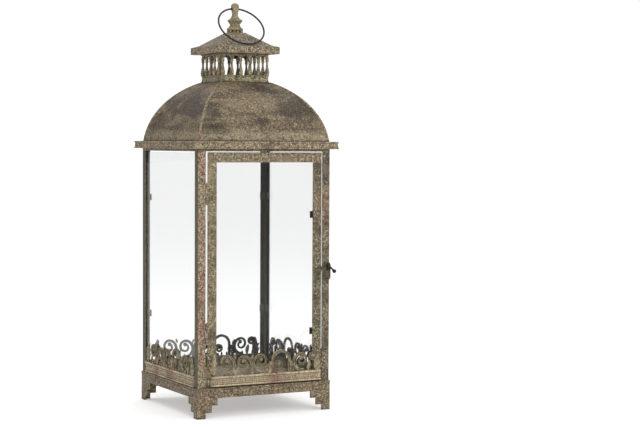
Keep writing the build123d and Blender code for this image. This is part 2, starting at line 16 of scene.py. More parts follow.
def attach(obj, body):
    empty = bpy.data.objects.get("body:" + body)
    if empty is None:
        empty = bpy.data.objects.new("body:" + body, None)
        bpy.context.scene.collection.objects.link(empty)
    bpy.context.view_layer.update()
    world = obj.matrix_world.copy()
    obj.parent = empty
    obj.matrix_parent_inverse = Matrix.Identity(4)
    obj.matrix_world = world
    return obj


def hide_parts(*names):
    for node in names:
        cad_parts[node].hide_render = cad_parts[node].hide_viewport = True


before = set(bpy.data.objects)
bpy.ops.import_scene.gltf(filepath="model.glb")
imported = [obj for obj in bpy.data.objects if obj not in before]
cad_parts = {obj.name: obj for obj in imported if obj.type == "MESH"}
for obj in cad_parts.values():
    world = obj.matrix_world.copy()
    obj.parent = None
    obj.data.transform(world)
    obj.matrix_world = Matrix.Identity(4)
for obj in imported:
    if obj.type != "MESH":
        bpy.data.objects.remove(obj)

LOG = logging.getLogger("lantern")
MM = 0.001
Colour = tuple[float, float, float]


class Side(Enum):
    """The four sides, as quarter turns about the axis from the front."""

    FRONT = 0
    RIGHT = 1
    BACK = 2
    LEFT = 3

    def turn(self) -> Matrix:
        """The rotation that takes the front side to this one."""
        return Matrix.Rotation(math.radians(90 * self.value), 4, "Z")


def from_srgb(red: int, green: int, blue: int) -> Colour:
    """A display colour of 0 to 255 a channel, as the linear values that a shader takes."""
    def linear(channel: int) -> float:
        """One channel, made linear."""
        share = channel / 255
        return share / 12.92 if share <= 0.04045 else ((share + 0.055) / 1.055) ** 2.4

    return linear(red), linear(green), linear(blue)


# ---------------------------------------------------------------- node wiring
class Wiring:
    """A thin layer over a node tree that adds nodes and joins their sockets.

    Args:
        tree: the node tree of a material or of a shader group.
    """

    def __init__(self, tree: bpy.types.NodeTree) -> None:
        self.tree = tree

    def add(self, kind: str, **settings: object) -> bpy.types.Node:
        """Add a node and set its plain properties.

        Args:
            kind: the node's type name without its ShaderNode prefix.
            settings: properties of the node, by name.

        Returns:
            The new node.
        """
        node = self.tree.nodes.new("ShaderNode" + kind)
        for key, value in settings.items():
            setattr(node, key, value)
        return node

    def feed(self, socket: bpy.types.NodeSocket, source: object) -> None:
        """Give a socket a link from another socket, or a plain value."""
        if isinstance(source, bpy.types.NodeSocket):
            self.tree.links.new(source, socket)
        elif isinstance(source, tuple) and len(source) == 3 and socket.type == "RGBA":
            socket.default_value = (*source, 1.0)
        else:
            socket.default_value = source

    def maths(self, operation: str, first: object, second: object = 0.0) -> bpy.types.NodeSocket:
        """The result of a Math node on two values.

        Args:
            operation: what the node does.
            first: a socket or a number.
            second: a socket or a number.

        Returns:
            The node's result.
        """
        node = self.add("Math", operation=operation)
        self.feed(node.inputs[0], first)
        self.feed(node.inputs[1], second)
        return node.outputs[0]

    def ramp(self, value: object, low: float, high: float,
             out_low: float = 0.0, out_high: float = 1.0) -> bpy.types.NodeSocket:
        """A value taken smoothly from one range to another, and held at its ends.

        Args:
            value: a socket or a number.
            low: where the range starts.
            high: where the range ends.
            out_low: the result at its start.
            out_high: the result at its end.

        Returns:
            The node's result.
        """
        node = self.add("MapRange", interpolation_type="SMOOTHSTEP")
        for socket, source in zip(node.inputs, (value, low, high, out_low, out_high)):
            self.feed(socket, source)
        return node.outputs[0]

    def blend(self, share: object, first: object, second: object) -> bpy.types.NodeSocket:
        """A mix of two colours.

        Args:
            share: the second colour's share.
            first: a socket or a colour.
            second: a socket or a colour.

        Returns:
            The mixed colour.
        """
        node = self.add("Mix", data_type="RGBA", clamp_factor=True)
        self.feed(node.inputs[0], share)
        self.feed(node.inputs[6], first)
        self.feed(node.inputs[7], second)
        return node.outputs[2]

    def noise(self, vector: object, scale: object, detail: float = 3.0,
              roughness: float = 0.6, distortion: float = 0.0) -> bpy.types.NodeSocket:
        """The value of a Noise texture.

        Args:
            vector: the coordinates.
            scale: cells to a metre.
            detail: finer layers.
            roughness: the weight of the finer layers.
            distortion: how far it is warped.

        Returns:
            The noise's value.
        """
        node = self.add("TexNoise")
        self.feed(node.inputs["Vector"], vector)
        self.feed(node.inputs["Scale"], scale)
        node.inputs["Detail"].default_value = detail
        node.inputs["Roughness"].default_value = roughness
        node.inputs["Distortion"].default_value = distortion
        return node.outputs["Fac"]

    def stretched(self, vector: object, scale: Colour) -> bpy.types.NodeSocket:
        """Coordinates stretched or squeezed along the axes.

        Args:
            vector: the coordinates.
            scale: the factor along each axis.

        Returns:
            The new coordinates.
        """
        node = self.add("Mapping")
        self.feed(node.inputs["Vector"], vector)
        node.inputs["Scale"].default_value = scale
        return node.outputs[0]


class Effect:
    """A shader group that several finishes share, made once by name.

    Args:
        name: the group's name.
        inputs: each input's name, socket type and starting value.
        outputs: each output's name and socket type.
    """

    def __init__(self, name: str, inputs: list[tuple[str, str, object]],
                 outputs: list[tuple[str, str]]) -> None:
        self.tree = bpy.data.node_groups.new(name, "ShaderNodeTree")
        for label, kind, start in inputs:
            socket = self.tree.interface.new_socket(label, in_out="INPUT", socket_type=kind)
            if start is not None:
                socket.default_value = start
        for label, kind in outputs:
            self.tree.interface.new_socket(label, in_out="OUTPUT", socket_type=kind)
        self.wiring = Wiring(self.tree)
        self.inside = self.tree.nodes.new("NodeGroupInput").outputs
        self.out = self.tree.nodes.new("NodeGroupOutput").inputs

    def place(self, wiring: Wiring, **values: object) -> bpy.types.NodeOutputs:
        """Put the group in a material.

        Args:
            wiring: the material's wiring.
            values: what each input gets, with spaces in its name as underscores.

        Returns:
            The group node's outputs.
        """
        node = wiring.add("Group", node_tree=self.tree)
        for label, source in values.items():
            wiring.feed(node.inputs[label.replace("_", " ")], source)
        return node.outputs


FLOAT = "NodeSocketFloat"
VECTOR = "NodeSocketVector"


def speckle_effect() -> Effect:
    """Pale flecks and dark pits of an antiqued, sprayed surface, from fine to coarse.

    Returns:
        The group.
    """
    effect = Effect(
        "speckle",
        [("Vector", VECTOR, None), ("Scale", FLOAT, 250.0), ("Amount", FLOAT, 0.5)],
        [("Grain", FLOAT), ("Flecks", FLOAT), ("Pits", FLOAT)],
    )
    w = effect.wiring
    vector, scale, amount = effect.inside[0], effect.inside[1], effect.inside[2]
    cloud = w.noise(vector, scale, 5.0, 0.78)
    spray = w.noise(vector, w.maths("MULTIPLY", scale, 2.4), 3.0, 0.7)
    low = w.maths("SUBTRACT", 0.615, w.maths("MULTIPLY", amount, 0.13))
    flecks = w.ramp(spray, 0.5, 0.62)
    w.feed(flecks.node.inputs[1], low)
    w.feed(flecks.node.inputs[2], w.maths("ADD", low, 0.07))
    w.feed(effect.out["Grain"], w.ramp(cloud, 0.37, 0.62))
    w.feed(effect.out["Flecks"], w.maths("MULTIPLY", flecks, w.ramp(cloud, 0.4, 0.56, 0.35, 1.0)))
    w.feed(effect.out["Pits"], w.ramp(spray, 0.47, 0.39))
    return effect


def patch_effect() -> Effect:
    """Soft-edged stains that cover a stated share of the surface.

    Returns:
        The group.
    """
    effect = Effect(
        "patches",
        [("Vector", VECTOR, None), ("Scale", FLOAT, 30.0), ("Amount", FLOAT, 0.4),
         ("Softness", FLOAT, 0.1)],
        [("Mask", FLOAT)],
    )
    w = effect.wiring
    vector, scale, amount, softness = (effect.inside[i] for i in range(4))
    cloud = w.noise(vector, scale, 5.0, 0.62, 0.35)
    low = w.maths("SUBTRACT", 0.72, w.maths("MULTIPLY", amount, 0.44))
    mask = w.ramp(cloud, 0.5, 0.6)
    w.feed(mask.node.inputs[1], low)
    w.feed(mask.node.inputs[2], w.maths("ADD", low, softness))
    w.feed(effect.out["Mask"], mask)
    return effect


def edge_effect() -> Effect:
    """Rubbed edges with a painted highlight: a broken mask where the surface turns, and a rounded normal.

    Returns:
        The group.
    """
    effect = Effect(
        "edge wear",
        [("Vector", VECTOR, None), ("Width", FLOAT, 0.0012), ("Amount", FLOAT, 0.7)],
        [("Mask", FLOAT), ("Normal", VECTOR)],
    )
    w = effect.wiring
    bevel = w.add("Bevel", samples=4)
    w.feed(bevel.inputs["Radius"], effect.inside[1])
    plain = w.add("NewGeometry").outputs["True Normal"]
    facing = w.add("VectorMath", operation="DOT_PRODUCT")
    w.feed(facing.inputs[0], bevel.outputs[0])
    w.feed(facing.inputs[1], plain)
    turn = w.ramp(w.maths("SUBTRACT", 1.0, facing.outputs["Value"]), 0.015, 0.16)
    broken = w.ramp(w.noise(effect.inside[0], 190.0, 4.0, 0.7), 0.38, 0.62)
    mask = w.maths("MULTIPLY", w.maths("MULTIPLY", turn, broken), effect.inside[2])
    w.feed(effect.out["Mask"], mask)
    w.feed(effect.out["Normal"], bevel.outputs[0])
    return effect


def streak_effect() -> Effect:
    """Level streaks, as rain and dust leave on a curved sheet.

    Returns:
        The group.
    """
    effect = Effect(
        "streaks",
        [("Vector", VECTOR, None), ("Amount", FLOAT, 0.5)],
        [("Mask", FLOAT)],
    )
    w = effect.wiring
    flat = w.stretched(effect.inside[0], (9.0, 9.0, 62.0))
    level = w.ramp(w.noise(flat, 1.0, 4.0, 0.65, 0.6), 0.44, 0.66)
    w.feed(effect.out["Mask"], w.maths("MULTIPLY", level, effect.inside[1]))
    return effect


def cavity_effect() -> Effect:
    """Painted shade in corners and channels, darkest where little open air is near.

    Returns:
        The group.
    """
    effect = Effect(
        "cavity",
        [("Distance", FLOAT, 0.006), ("Amount", FLOAT, 0.5)],
        [("Mask", FLOAT)],
    )
    w = effect.wiring
    shelter = w.add("AmbientOcclusion", samples=6)
    w.feed(shelter.inputs["Distance"], effect.inside[0])
    closed = w.ramp(shelter.outputs["AO"], 0.9, 0.35)
    w.feed(effect.out["Mask"], w.maths("MULTIPLY", closed, effect.inside[1]))
    return effect


@dataclass
class Effects:
    """The shared shader groups."""

    speckle: Effect = field(default_factory=speckle_effect)
    patches: Effect = field(default_factory=patch_effect)
    edges: Effect = field(default_factory=edge_effect)
    streaks: Effect = field(default_factory=streak_effect)
    cavity: Effect = field(default_factory=cavity_effect)


# ---------------------------------------------------------------- finishes
@dataclass(frozen=True)
class WeatheredBronze:
    """Antiqued bronze paint on metal, flecked, stained green and rubbed at the edges, with painted shade
    and painted highlights.
    """

    name: str
    light: Colour = from_srgb(200, 186, 156)
    mid: Colour = from_srgb(132, 116, 88)
    dark: Colour = from_srgb(46, 36, 25)
    verdigris: Colour = from_srgb(96, 106, 70)
    rust: Colour = from_srgb(158, 112, 92)
    flecks: float = 0.6
    grain: float = 0.85
    mottle: float = 0.42
    stain: float = 0.68
    verdigris_share: float = 0.34
    rust_share: float = 0.3
    streaks: float = 0.0
    # how much painted shade is laid in corners and channels
    cavity_shade: float = 0.85
    # painted shade on faces that turn along X
    flank: float = 0.0
    # painted shade: the reach within which faces count as inside the lantern
    inside: float = 0.0
    # painted highlight towards the foot: where it is full, where it ends, and its strength
    foot_highlight: tuple[float, float, float] = (0.0, 1.0, 0.0)
    patch_scale: float = 26.0
    # how far the edges are rubbed light, which also stands for their painted highlight
    wear_and_highlight: float = 0.6
    metallic: float = 0.15
    roughness: float = 0.62
    bump: float = 0.5

    def material(self, effects: Effects) -> bpy.types.Material:
        """Build the node material.

        Args:
            effects: the shared shader groups.

        Returns:
            The finished material.
        """
        made = bpy.data.materials.new(self.name)
        made.use_nodes = True
        w = Wiring(made.node_tree)
        shader = made.node_tree.nodes["Principled BSDF"]
        place = w.add("TexCoord").outputs["Object"]
        speckle = effects.speckle.place(w, Vector=place, Amount=self.flecks)
        edges = effects.edges.place(w, Vector=place, Amount=self.wear_and_highlight)
        mottle = effects.patches.place(
            w, Vector=w.stretched(place, (1.0, 1.0, 1.6)), Scale=self.patch_scale,
            Amount=self.mottle, Softness=0.16)
        cavity = effects.cavity.place(w, Amount=self.cavity_shade)
        green = effects.patches.place(
            w, Vector=w.stretched(place, (1.0, 1.0, 0.55)), Scale=34.0,
            Amount=self.verdigris_share, Softness=0.14)
        rust = effects.patches.place(
            w, Vector=w.stretched(place, (1.3, 1.3, 0.4)), Scale=19.0,
            Amount=self.rust_share, Softness=0.12)
        streak = effects.streaks.place(w, Vector=place, Amount=self.streaks)
        stain = w.blend(w.maths("MULTIPLY", rust["Mask"], 0.8), self.mid, self.rust)
        stain = w.blend(w.maths("MULTIPLY", green["Mask"], 0.8), stain, self.verdigris)
        stain = w.blend(w.maths("MULTIPLY", mottle["Mask"], self.stain), stain, self.dark)
        stain = w.blend(streak["Mask"], stain, self.dark)
        shade = w.blend(self.grain, stain, self.dark)
        colour = w.blend(speckle["Grain"], shade, stain)
        cover = w.maths("SUBTRACT", 0.95, w.maths("MULTIPLY", mottle["Mask"], 0.5))
        colour = w.blend(w.maths("MULTIPLY", speckle["Flecks"], cover), colour, self.light)
        colour = w.blend(w.maths("MULTIPLY", speckle["Pits"], 0.7), colour, self.dark)
        # edges lightened: rubbed metal, and a painted highlight along them
        colour = w.blend(edges["Mask"], colour, self.light)
        # painted highlight: the dome is lighter towards its foot
        if self.foot_highlight[2]:
            height = w.add("SeparateXYZ")
            w.feed(height.inputs[0], place)
            near = w.ramp(height.outputs["Z"], self.foot_highlight[1], self.foot_highlight[0])
            near = w.maths("MULTIPLY", near, w.ramp(speckle["Grain"], 0.1, 0.7, 0.3, 1.0))
            colour = w.blend(w.maths("MULTIPLY", near, self.foot_highlight[2]), colour, self.light)
        # painted shade: faces inside the lantern are darkened towards dark green
        if self.inside:
            depth = w.add("SeparateXYZ")
            w.feed(depth.inputs[0], place)
            reach = w.maths("MAXIMUM", w.maths("ABSOLUTE", depth.outputs["X"]),
                            w.maths("ABSOLUTE", depth.outputs["Y"]))
            indoors = w.ramp(reach, self.inside, self.inside - 0.8 * MM, 0.0, 0.8)
            colour = w.blend(indoors, colour, w.blend(0.35, self.dark, self.verdigris))
        # painted shade: faces that turn along X are darkened towards dark green
        if self.flank:
            facing = w.add("SeparateXYZ")
            w.feed(facing.inputs[0], w.add("NewGeometry").outputs["True Normal"])
            aside = w.ramp(w.maths("ABSOLUTE", facing.outputs["X"]), 0.5, 0.8, 0.0, self.flank)
            colour = w.blend(aside, colour, w.blend(0.3, self.dark, self.verdigris))
        # painted shade: corners and channels are darkened by the cavity mask
        colour = w.blend(cavity["Mask"], colour, self.dark)
        w.feed(shader.inputs["Base Color"], colour)
        shader.inputs["Metallic"].default_value = self.metallic
        w.feed(shader.inputs["Roughness"],
               w.ramp(speckle["Grain"], 0.0, 1.0, self.roughness + 0.14, self.roughness - 0.1))
        bump = w.add("Bump")
        bump.inputs["Strength"].default_value = self.bump
        bump.inputs["Distance"].default_value = 0.4 * MM
        w.feed(bump.inputs["Height"], speckle["Grain"])
        w.feed(bump.inputs["Normal"], edges["Normal"])
        w.feed(shader.inputs["Normal"], bump.outputs[0])
        return made


@dataclass(frozen=True)
class BlackIron:
    """Blackened iron, smoother and a little brighter where hands rub it."""

    name: str
    dark: Colour = from_srgb(34, 31, 28)
    rubbed: Colour = from_srgb(96, 92, 84)
    rubbed_share: float = 0.35

    def material(self, effects: Effects) -> bpy.types.Material:
        """Build the node material from the shared groups.

        Args:
            effects: the shared shader groups.

        Returns:
            The finished material.
        """
        made = bpy.data.materials.new(self.name)
        made.use_nodes = True
        w = Wiring(made.node_tree)
        shader = made.node_tree.nodes["Principled BSDF"]
        place = w.add("TexCoord").outputs["Object"]
        speckle = effects.speckle.place(w, Vector=place, Amount=0.2)
        rubbed = effects.patches.place(
            w, Vector=place, Scale=42.0, Amount=self.rubbed_share, Softness=0.22)
        colour = w.blend(w.maths("MULTIPLY", rubbed["Mask"], 0.7), self.dark, self.rubbed)
        colour = w.blend(w.maths("MULTIPLY", speckle["Flecks"], 0.3), colour, self.rubbed)
        w.feed(shader.inputs["Base Color"], colour)
        shader.inputs["Metallic"].default_value = 0.6
        w.feed(shader.inputs["Roughness"], w.ramp(rubbed["Mask"], 0.0, 1.0, 0.5, 0.32))
        bump = w.add("Bump")
        bump.inputs["Strength"].default_value = 0.25
        bump.inputs["Distance"].default_value = 0.2 * MM
        w.feed(bump.inputs["Height"], speckle["Grain"])
        w.feed(shader.inputs["Normal"], bump.outputs[0])
        return made


@dataclass(frozen=True)
class ClearPane:
    """Clear sheet glass with a faint film of dust."""

    name: str
    tint: Colour = (0.93, 0.932, 0.934)

    def material(self, effects: Effects) -> bpy.types.Material:
        """Build the node material; lamps shine through it.

        Args:
            effects: the shared shader groups.

        Returns:
            The finished material.
        """
        made = bpy.data.materials.new(self.name)
        made.use_nodes = True
        w = Wiring(made.node_tree)
        shader = made.node_tree.nodes["Principled BSDF"]
        output = made.node_tree.nodes["Material Output"]
        shader.inputs["Base Color"].default_value = (*self.tint, 1.0)
        shader.inputs["Transmission Weight"].default_value = 1.0
        shader.inputs["IOR"].default_value = 1.25
        place = w.add("TexCoord").outputs["Object"]
        film = effects.patches.place(w, Vector=place, Scale=14.0, Amount=0.4, Softness=0.3)
        w.feed(shader.inputs["Roughness"], w.ramp(film["Mask"], 0.0, 1.0, 0.0, 0.03))
        clear = w.add("BsdfTransparent")
        clear.inputs["Color"].default_value = (*self.tint, 1.0)
        paths = w.add("LightPath")
        mix = w.add("MixShader")
        w.feed(mix.inputs[0], paths.outputs["Is Shadow Ray"])
        w.feed(mix.inputs[1], shader.outputs[0])
        w.feed(mix.inputs[2], clear.outputs[0])
        w.feed(output.inputs["Surface"], mix.outputs[0])
        return made


class Finish(Enum):
    """Every finish on the lantern."""

    SHEET = WeatheredBronze("sheet bronze", mid=from_srgb(150, 132, 103))
    BASE = WeatheredBronze("base bronze", mid=from_srgb(124, 107, 80), rust_share=0.36, flecks=0.5)
    POSTS = WeatheredBronze(
        "post bronze", mid=from_srgb(150, 133, 105), rust_share=0.62, verdigris_share=0.42,
        flank=0.85, inside=0.115)
    # darker copy of the post finish for the right-hand post and the tabs: painted shade, with heavier
    # stains
    SHADED_POST = WeatheredBronze(
        "shaded post bronze", mid=from_srgb(112, 99, 78), rust_share=0.5, verdigris_share=0.5,
        mottle=0.62, flank=0.85, inside=0.115)
    DOOR = WeatheredBronze(
        "door bronze", mid=from_srgb(138, 122, 92), verdigris_share=0.44, mottle=0.5, patch_scale=18.0)
    # darker copy of the door finish for the latch stile and the door's tabs: painted shade, with heavier
    # stains
    SHADED_DOOR = WeatheredBronze(
        "shaded door bronze", mid=from_srgb(100, 88, 64), verdigris_share=0.5, mottle=0.62,
        patch_scale=18.0)
    DOME = WeatheredBronze(
        "dome bronze", light=from_srgb(190, 176, 144), mid=from_srgb(128, 111, 85), mottle=0.64,
        stain=0.85, streaks=0.8, verdigris_share=0.16, rust_share=0.14, flecks=0.36, grain=0.6,
        patch_scale=15.0, cavity_shade=1.0, foot_highlight=(0.436, 0.458, 0.45))
    SEAMS = WeatheredBronze(
        "seam bronze", mid=from_srgb(142, 122, 96), mottle=0.3, flecks=0.5, rust_share=0.3,
        verdigris_share=0.1, wear_and_highlight=0.6)
    CASTING = WeatheredBronze(
        "cast bronze", light=from_srgb(204, 194, 160), mid=from_srgb(148, 136, 104),
        verdigris=from_srgb(98, 108, 76), verdigris_share=0.45, rust_share=0.3, mottle=0.3, wear_and_highlight=1.0,
        flecks=0.25, grain=0.5, cavity_shade=1.0)
    BAND = WeatheredBronze(
        "band bronze", light=from_srgb(222, 210, 180), mid=from_srgb(202, 183, 151),
        verdigris_share=0.3, rust_share=0.5, mottle=0.2, wear_and_highlight=0.9, flecks=0.3, grain=0.45, cavity_shade=0.8)
    GALLERY = WeatheredBronze(
        "gallery bronze", mid=from_srgb(160, 148, 114), verdigris=from_srgb(104, 112, 70),
        verdigris_share=0.5, rust_share=0.4, mottle=0.3, flecks=0.5, wear_and_highlight=0.9, cavity_shade=0.8)
    CAP = WeatheredBronze(
        "cap bronze", mid=from_srgb(142, 126, 101), rust_share=0.34, verdigris_share=0.24, mottle=0.4)
    ROOF = WeatheredBronze(
        "roof bronze", mid=from_srgb(112, 99, 77), rust_share=0.3, verdigris_share=0.2, mottle=0.5)
    TABS = WeatheredBronze(
        "tab metal", mid=from_srgb(138, 108, 94), rust_share=0.7, verdigris_share=0.1)
    PLATE = WeatheredBronze(
        "plate bronze", light=from_srgb(160, 150, 118), mid=from_srgb(86, 77, 57),
        verdigris_share=0.5, wear_and_highlight=0.9, flecks=0.3)
    IRON = BlackIron("black iron")
    FASTENER = BlackIron(
        "browned steel", dark=from_srgb(48, 41, 33), rubbed=from_srgb(112, 102, 84))
    GLASS = ClearPane("clear glass")


class Paint:
    """Keeps one material for each finish and puts it on pieces."""

    def __init__(self) -> None:
        self.effects = Effects()
        self.made: dict[Finish, bpy.types.Material] = {}

    def coat(self, piece: bpy.types.Object, finish: Finish) -> None:
        """Give a piece one finish in its only material slot.

        Args:
            piece: the object to coat.
            finish: what it is coated with.
        """
        if finish not in self.made:
            self.made[finish] = finish.value.material(self.effects)
        piece.data.materials.clear()
        piece.data.materials.append(self.made[finish])


# ---------------------------------------------------------------- carried-over nodes
NODE_FINISH: list[tuple[str, Finish]] = [
    ("dome_seams", Finish.SEAMS),
    ("dome_", Finish.DOME),
    # darker copies on the right-hand post, the latch stile and the tabs away from the left: painted shade
    ("post_front_right", Finish.SHADED_POST),
    ("post_", Finish.POSTS),
    ("door_stile_latch", Finish.SHADED_DOOR),
    ("gallery_", Finish.GALLERY),
    ("glass_tabs_left", Finish.TABS),
    ("glass_tabs", Finish.SHADED_POST),
    ("door_glass_tabs", Finish.SHADED_DOOR),
    ("glass_", Finish.GLASS),
    ("door_glass", Finish.GLASS),
    ("door_keeper", Finish.PLATE),
    ("finial_", Finish.FASTENER),
    ("finial", Finish.CASTING),
    ("cap_roof", Finish.ROOF),
    ("cap_", Finish.CAP),
    ("base_skirt", Finish.BASE),
    ("foot_", Finish.BASE),
    ("carry_ring", Finish.IRON),
    ("latch_lever", Finish.IRON),
    ("latch_plate", Finish.PLATE),
    ("latch_", Finish.FASTENER),
    ("keeper_rivets", Finish.FASTENER),
    ("upper_hinge_pin", Finish.FASTENER),
    ("lower_hinge_pin", Finish.FASTENER),
    ("door_scroll", Finish.CASTING),
    ("door_", Finish.DOOR),
    ("scroll_", Finish.CASTING),
    ("", Finish.SHEET),
]


@dataclass
class FrameWork:
    """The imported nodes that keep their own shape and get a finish."""

    paint: Paint

    def dress(self) -> None:
        """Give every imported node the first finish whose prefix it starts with."""
        for name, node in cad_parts.items():
            finish = next(f for prefix, f in NODE_FINISH if name.startswith(prefix))
            self.paint.coat(node, finish)
            LOG.info("node %s: %s", name, finish.name)


# ---------------------------------------------------------------- mesh drafts
Point = tuple[float, float]


def spot(place: Vector) -> float:
    """A number that orders places in metres, with a different weight for each axis."""
    return place.x + math.sqrt(2) * place.y + math.sqrt(5) * place.z


def corners(edges: list[bmesh.types.BMEdge]) -> list[bmesh.types.BMVert]:
    """The vertices of some edges, once each and in order."""
    return list(dict.fromkeys(vert for edge in edges for vert in edge.verts))


class Draft:
    """A mesh in millimetres while it is being shaped."""

    def __init__(self) -> None:
        self.mesh = bmesh.new()

    def ball(self, centre: Vector, size: Vector, tilt: float = 0.0,
             turns: int = 8, rings: int = 5) -> None:
        """Add an egg shape.

        Args:
            centre: its middle.
            size: half its width, depth and height.
            tilt: turn about Y, in degrees.
            turns: faces round it.
            rings: faces from pole to pole.
        """
        place = (Matrix.Translation(centre) @ Matrix.Rotation(math.radians(tilt), 4, "Y")
                 @ Matrix.Diagonal((*size, 1.0)))
        bmesh.ops.create_uvsphere(
            self.mesh, u_segments=turns, v_segments=rings, radius=1.0, matrix=place)

    def block(self, low: Vector, high: Vector, rounding: float = 0.0) -> None:
        """Add a block between two corners, with rounded edges if asked.

        Args:
            low: its lowest corner.
            high: its highest corner.
            rounding: the width of its bevels, or none.
        """
        place = Matrix.Translation((low + high) / 2) @ Matrix.Diagonal((*(high - low), 1.0))
        made = bmesh.ops.create_cube(self.mesh, size=1.0, matrix=place)["verts"]
        if rounding:
            edges = list(dict.fromkeys(edge for vert in made for edge in vert.link_edges))
            bmesh.ops.bevel(self.mesh, geom=edges, offset=rounding, segments=2, profile=0.5,
                            affect="EDGES", material=-1)

    def row(self, faces: list[bmesh.types.BMFace], pitch: Vector, count: int) -> None:
        """Repeat faces in a straight row of a stated count."""
        bmesh.ops.spin(self.mesh, geom=faces, cent=(0.0, 0.0, 0.0), axis=(0.0, 0.0, 1.0),
                       dvec=pitch, angle=0.0, steps=count - 1, use_duplicate=True)

    def ring(self, points: list[Vector]) -> list[bmesh.types.BMEdge]:
        """Join points into a closed loop of edges.

        Args:
            points: the places of its vertices.

        Returns:
            The new edges, in order.
        """
        verts = [self.mesh.verts.new(point) for point in points]
        return [self.mesh.edges.new(pair) for pair in zip(verts, verts[1:] + verts[:1])]

    def fill(self, edges: list[bmesh.types.BMEdge]) -> None:
        """Close a loop with one face."""
        bmesh.ops.edgeloop_fill(self.mesh, edges=edges)

    def spin(self, edges: list[bmesh.types.BMEdge], centre: Vector, axis: Vector,
             degrees: float, steps: int) -> list[bmesh.types.BMEdge]:
        """Sweep edges round an axis.

        Args:
            edges: what is swept.
            centre: a point on the axis.
            axis: the axis' direction.
            degrees: how far; a full turn closes on itself.
            steps: faces along the sweep.

        Returns:
            The edges where the sweep ends.
        """
        verts = corners(edges)
        swept = bmesh.ops.spin(
            self.mesh, geom=verts + edges, cent=centre, axis=axis, angle=math.radians(degrees),
            steps=steps, use_merge=abs(degrees) > 359.0)
        return [part for part in swept["geom_last"] if isinstance(part, bmesh.types.BMEdge)]

    def push(self, edges: list[bmesh.types.BMEdge], move: Vector) -> list[bmesh.types.BMEdge]:
        """Extrude edges in a straight line and return the new ones.

        Args:
            edges: the edges to extrude.
            move: how far, and which way.

        Returns:
            The edges at the far end.
        """
        made = bmesh.ops.extrude_edge_only(self.mesh, edges=edges)["geom"]
        verts = [part for part in made if isinstance(part, bmesh.types.BMVert)]
        bmesh.ops.translate(self.mesh, verts=verts, vec=move)
        ends = set(verts)
        return [part for part in made
                if isinstance(part, bmesh.types.BMEdge) and set(part.verts) <= ends]

    def prism(self, outline: list[Vector], move: Vector) -> None:
        """A closed outline pushed in a straight line, with both ends filled.

        Args:
            outline: the closed outline.
            move: how far, and which way.
        """
        start = self.ring(outline)
        end = self.push(start, move)
        self.fill(start)
        self.fill(end)

    def collar(self, centre: Vector, outline: list[Point], turns: int = 10) -> None:
        """Turn a closed outline of radius and height round an upright line."""
        points = [centre + Vector((radius, 0.0, height)) for radius, height in outline]
        self.spin(self.ring(points), centre, Vector((0.0, 0.0, 1.0)), 360.0, turns)

    def square_roll(self, half: float, outline: list[Point]) -> None:
        """Run a closed outline of outward offset and height round a square, mitred.

        Args:
            half: half the square's width.
            outline: offsets beyond the square, and heights.
        """
        for quarter in range(4):
            points = [Vector((-(half + out), -(half + out), height)) for out, height in outline]
            start = self.ring(points)
            made = bmesh.ops.extrude_edge_only(self.mesh, edges=start)["geom"]
            far = [part for part in made if isinstance(part, bmesh.types.BMVert)]
            bmesh.ops.scale(self.mesh, verts=far, vec=(-1.0, 1.0, 1.0))
            near = corners(start)
            bmesh.ops.rotate(self.mesh, verts=near + far, cent=(0.0, 0.0, 0.0),
                             matrix=Matrix.Rotation(math.radians(90 * quarter), 3, "Z"))


def half_round(z: float, radius: float, back: float = 0.4, bulge: float = 1.0,
               steps: int = 6) -> list[Point]:
    """The outline of a half-round moulding, as offset and height.

    Args:
        z: height of its middle.
        radius: half its height.
        back: how far it goes back into the wall.
        bulge: how far it stands out, against its radius.
        steps: straight runs in the curve.

    Returns:
        The closed outline.
    """
    curve = [(radius * bulge * math.sin(math.pi * i / steps), z - radius * math.cos(math.pi * i / steps))
             for i in range(steps + 1)]
    return [(-back, z - radius), *curve, (-back, z + radius)]


@dataclass
class Workshop:
    """Turns drafts into finished pieces of the lantern."""

    paint: Paint

    def deliver(self, draft: Draft, name: str, finish: Finish, body: str = "lantern",
                replaces: tuple[str, ...] = (), place: Matrix = Matrix.Identity(4),
                smooth: float = 38.0) -> bpy.types.Object:
        """Make a draft into a piece.

        Args:
            draft: the mesh, in millimetres.
            name: the piece's name.
            finish: what it is coated with.
            body: the body that it rides on.
            replaces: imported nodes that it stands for.
            place: where it goes, in millimetres.
            smooth: the sharpest edge in degrees that is shaded smooth.

        Returns:
            The finished object.
        """
        mesh = draft.mesh
        bmesh.ops.transform(mesh, matrix=Matrix.Scale(MM, 4) @ place, verts=mesh.verts)
        bmesh.ops.remove_doubles(mesh, verts=mesh.verts, dist=1e-7)
        bmesh.ops.recalc_face_normals(mesh, faces=mesh.faces)
        mesh.verts.sort(key=lambda vert: spot(vert.co))
        mesh.faces.sort(key=lambda face: spot(face.calc_center_median()))
        data = bpy.data.meshes.new(name)
        mesh.to_mesh(data)
        mesh.free()
        data.polygons.foreach_set("use_smooth", [True] * len(data.polygons))
        data.set_sharp_from_angle(angle=math.radians(smooth))
        piece = bpy.data.objects.new(name, data)
        bpy.context.scene.collection.objects.link(piece)
        self.paint.coat(piece, finish)
        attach(piece, body)
        if replaces:
            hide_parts(*replaces)
        LOG.info("piece %s: %d faces, %s", name, len(data.polygons), finish.name)
        return piece


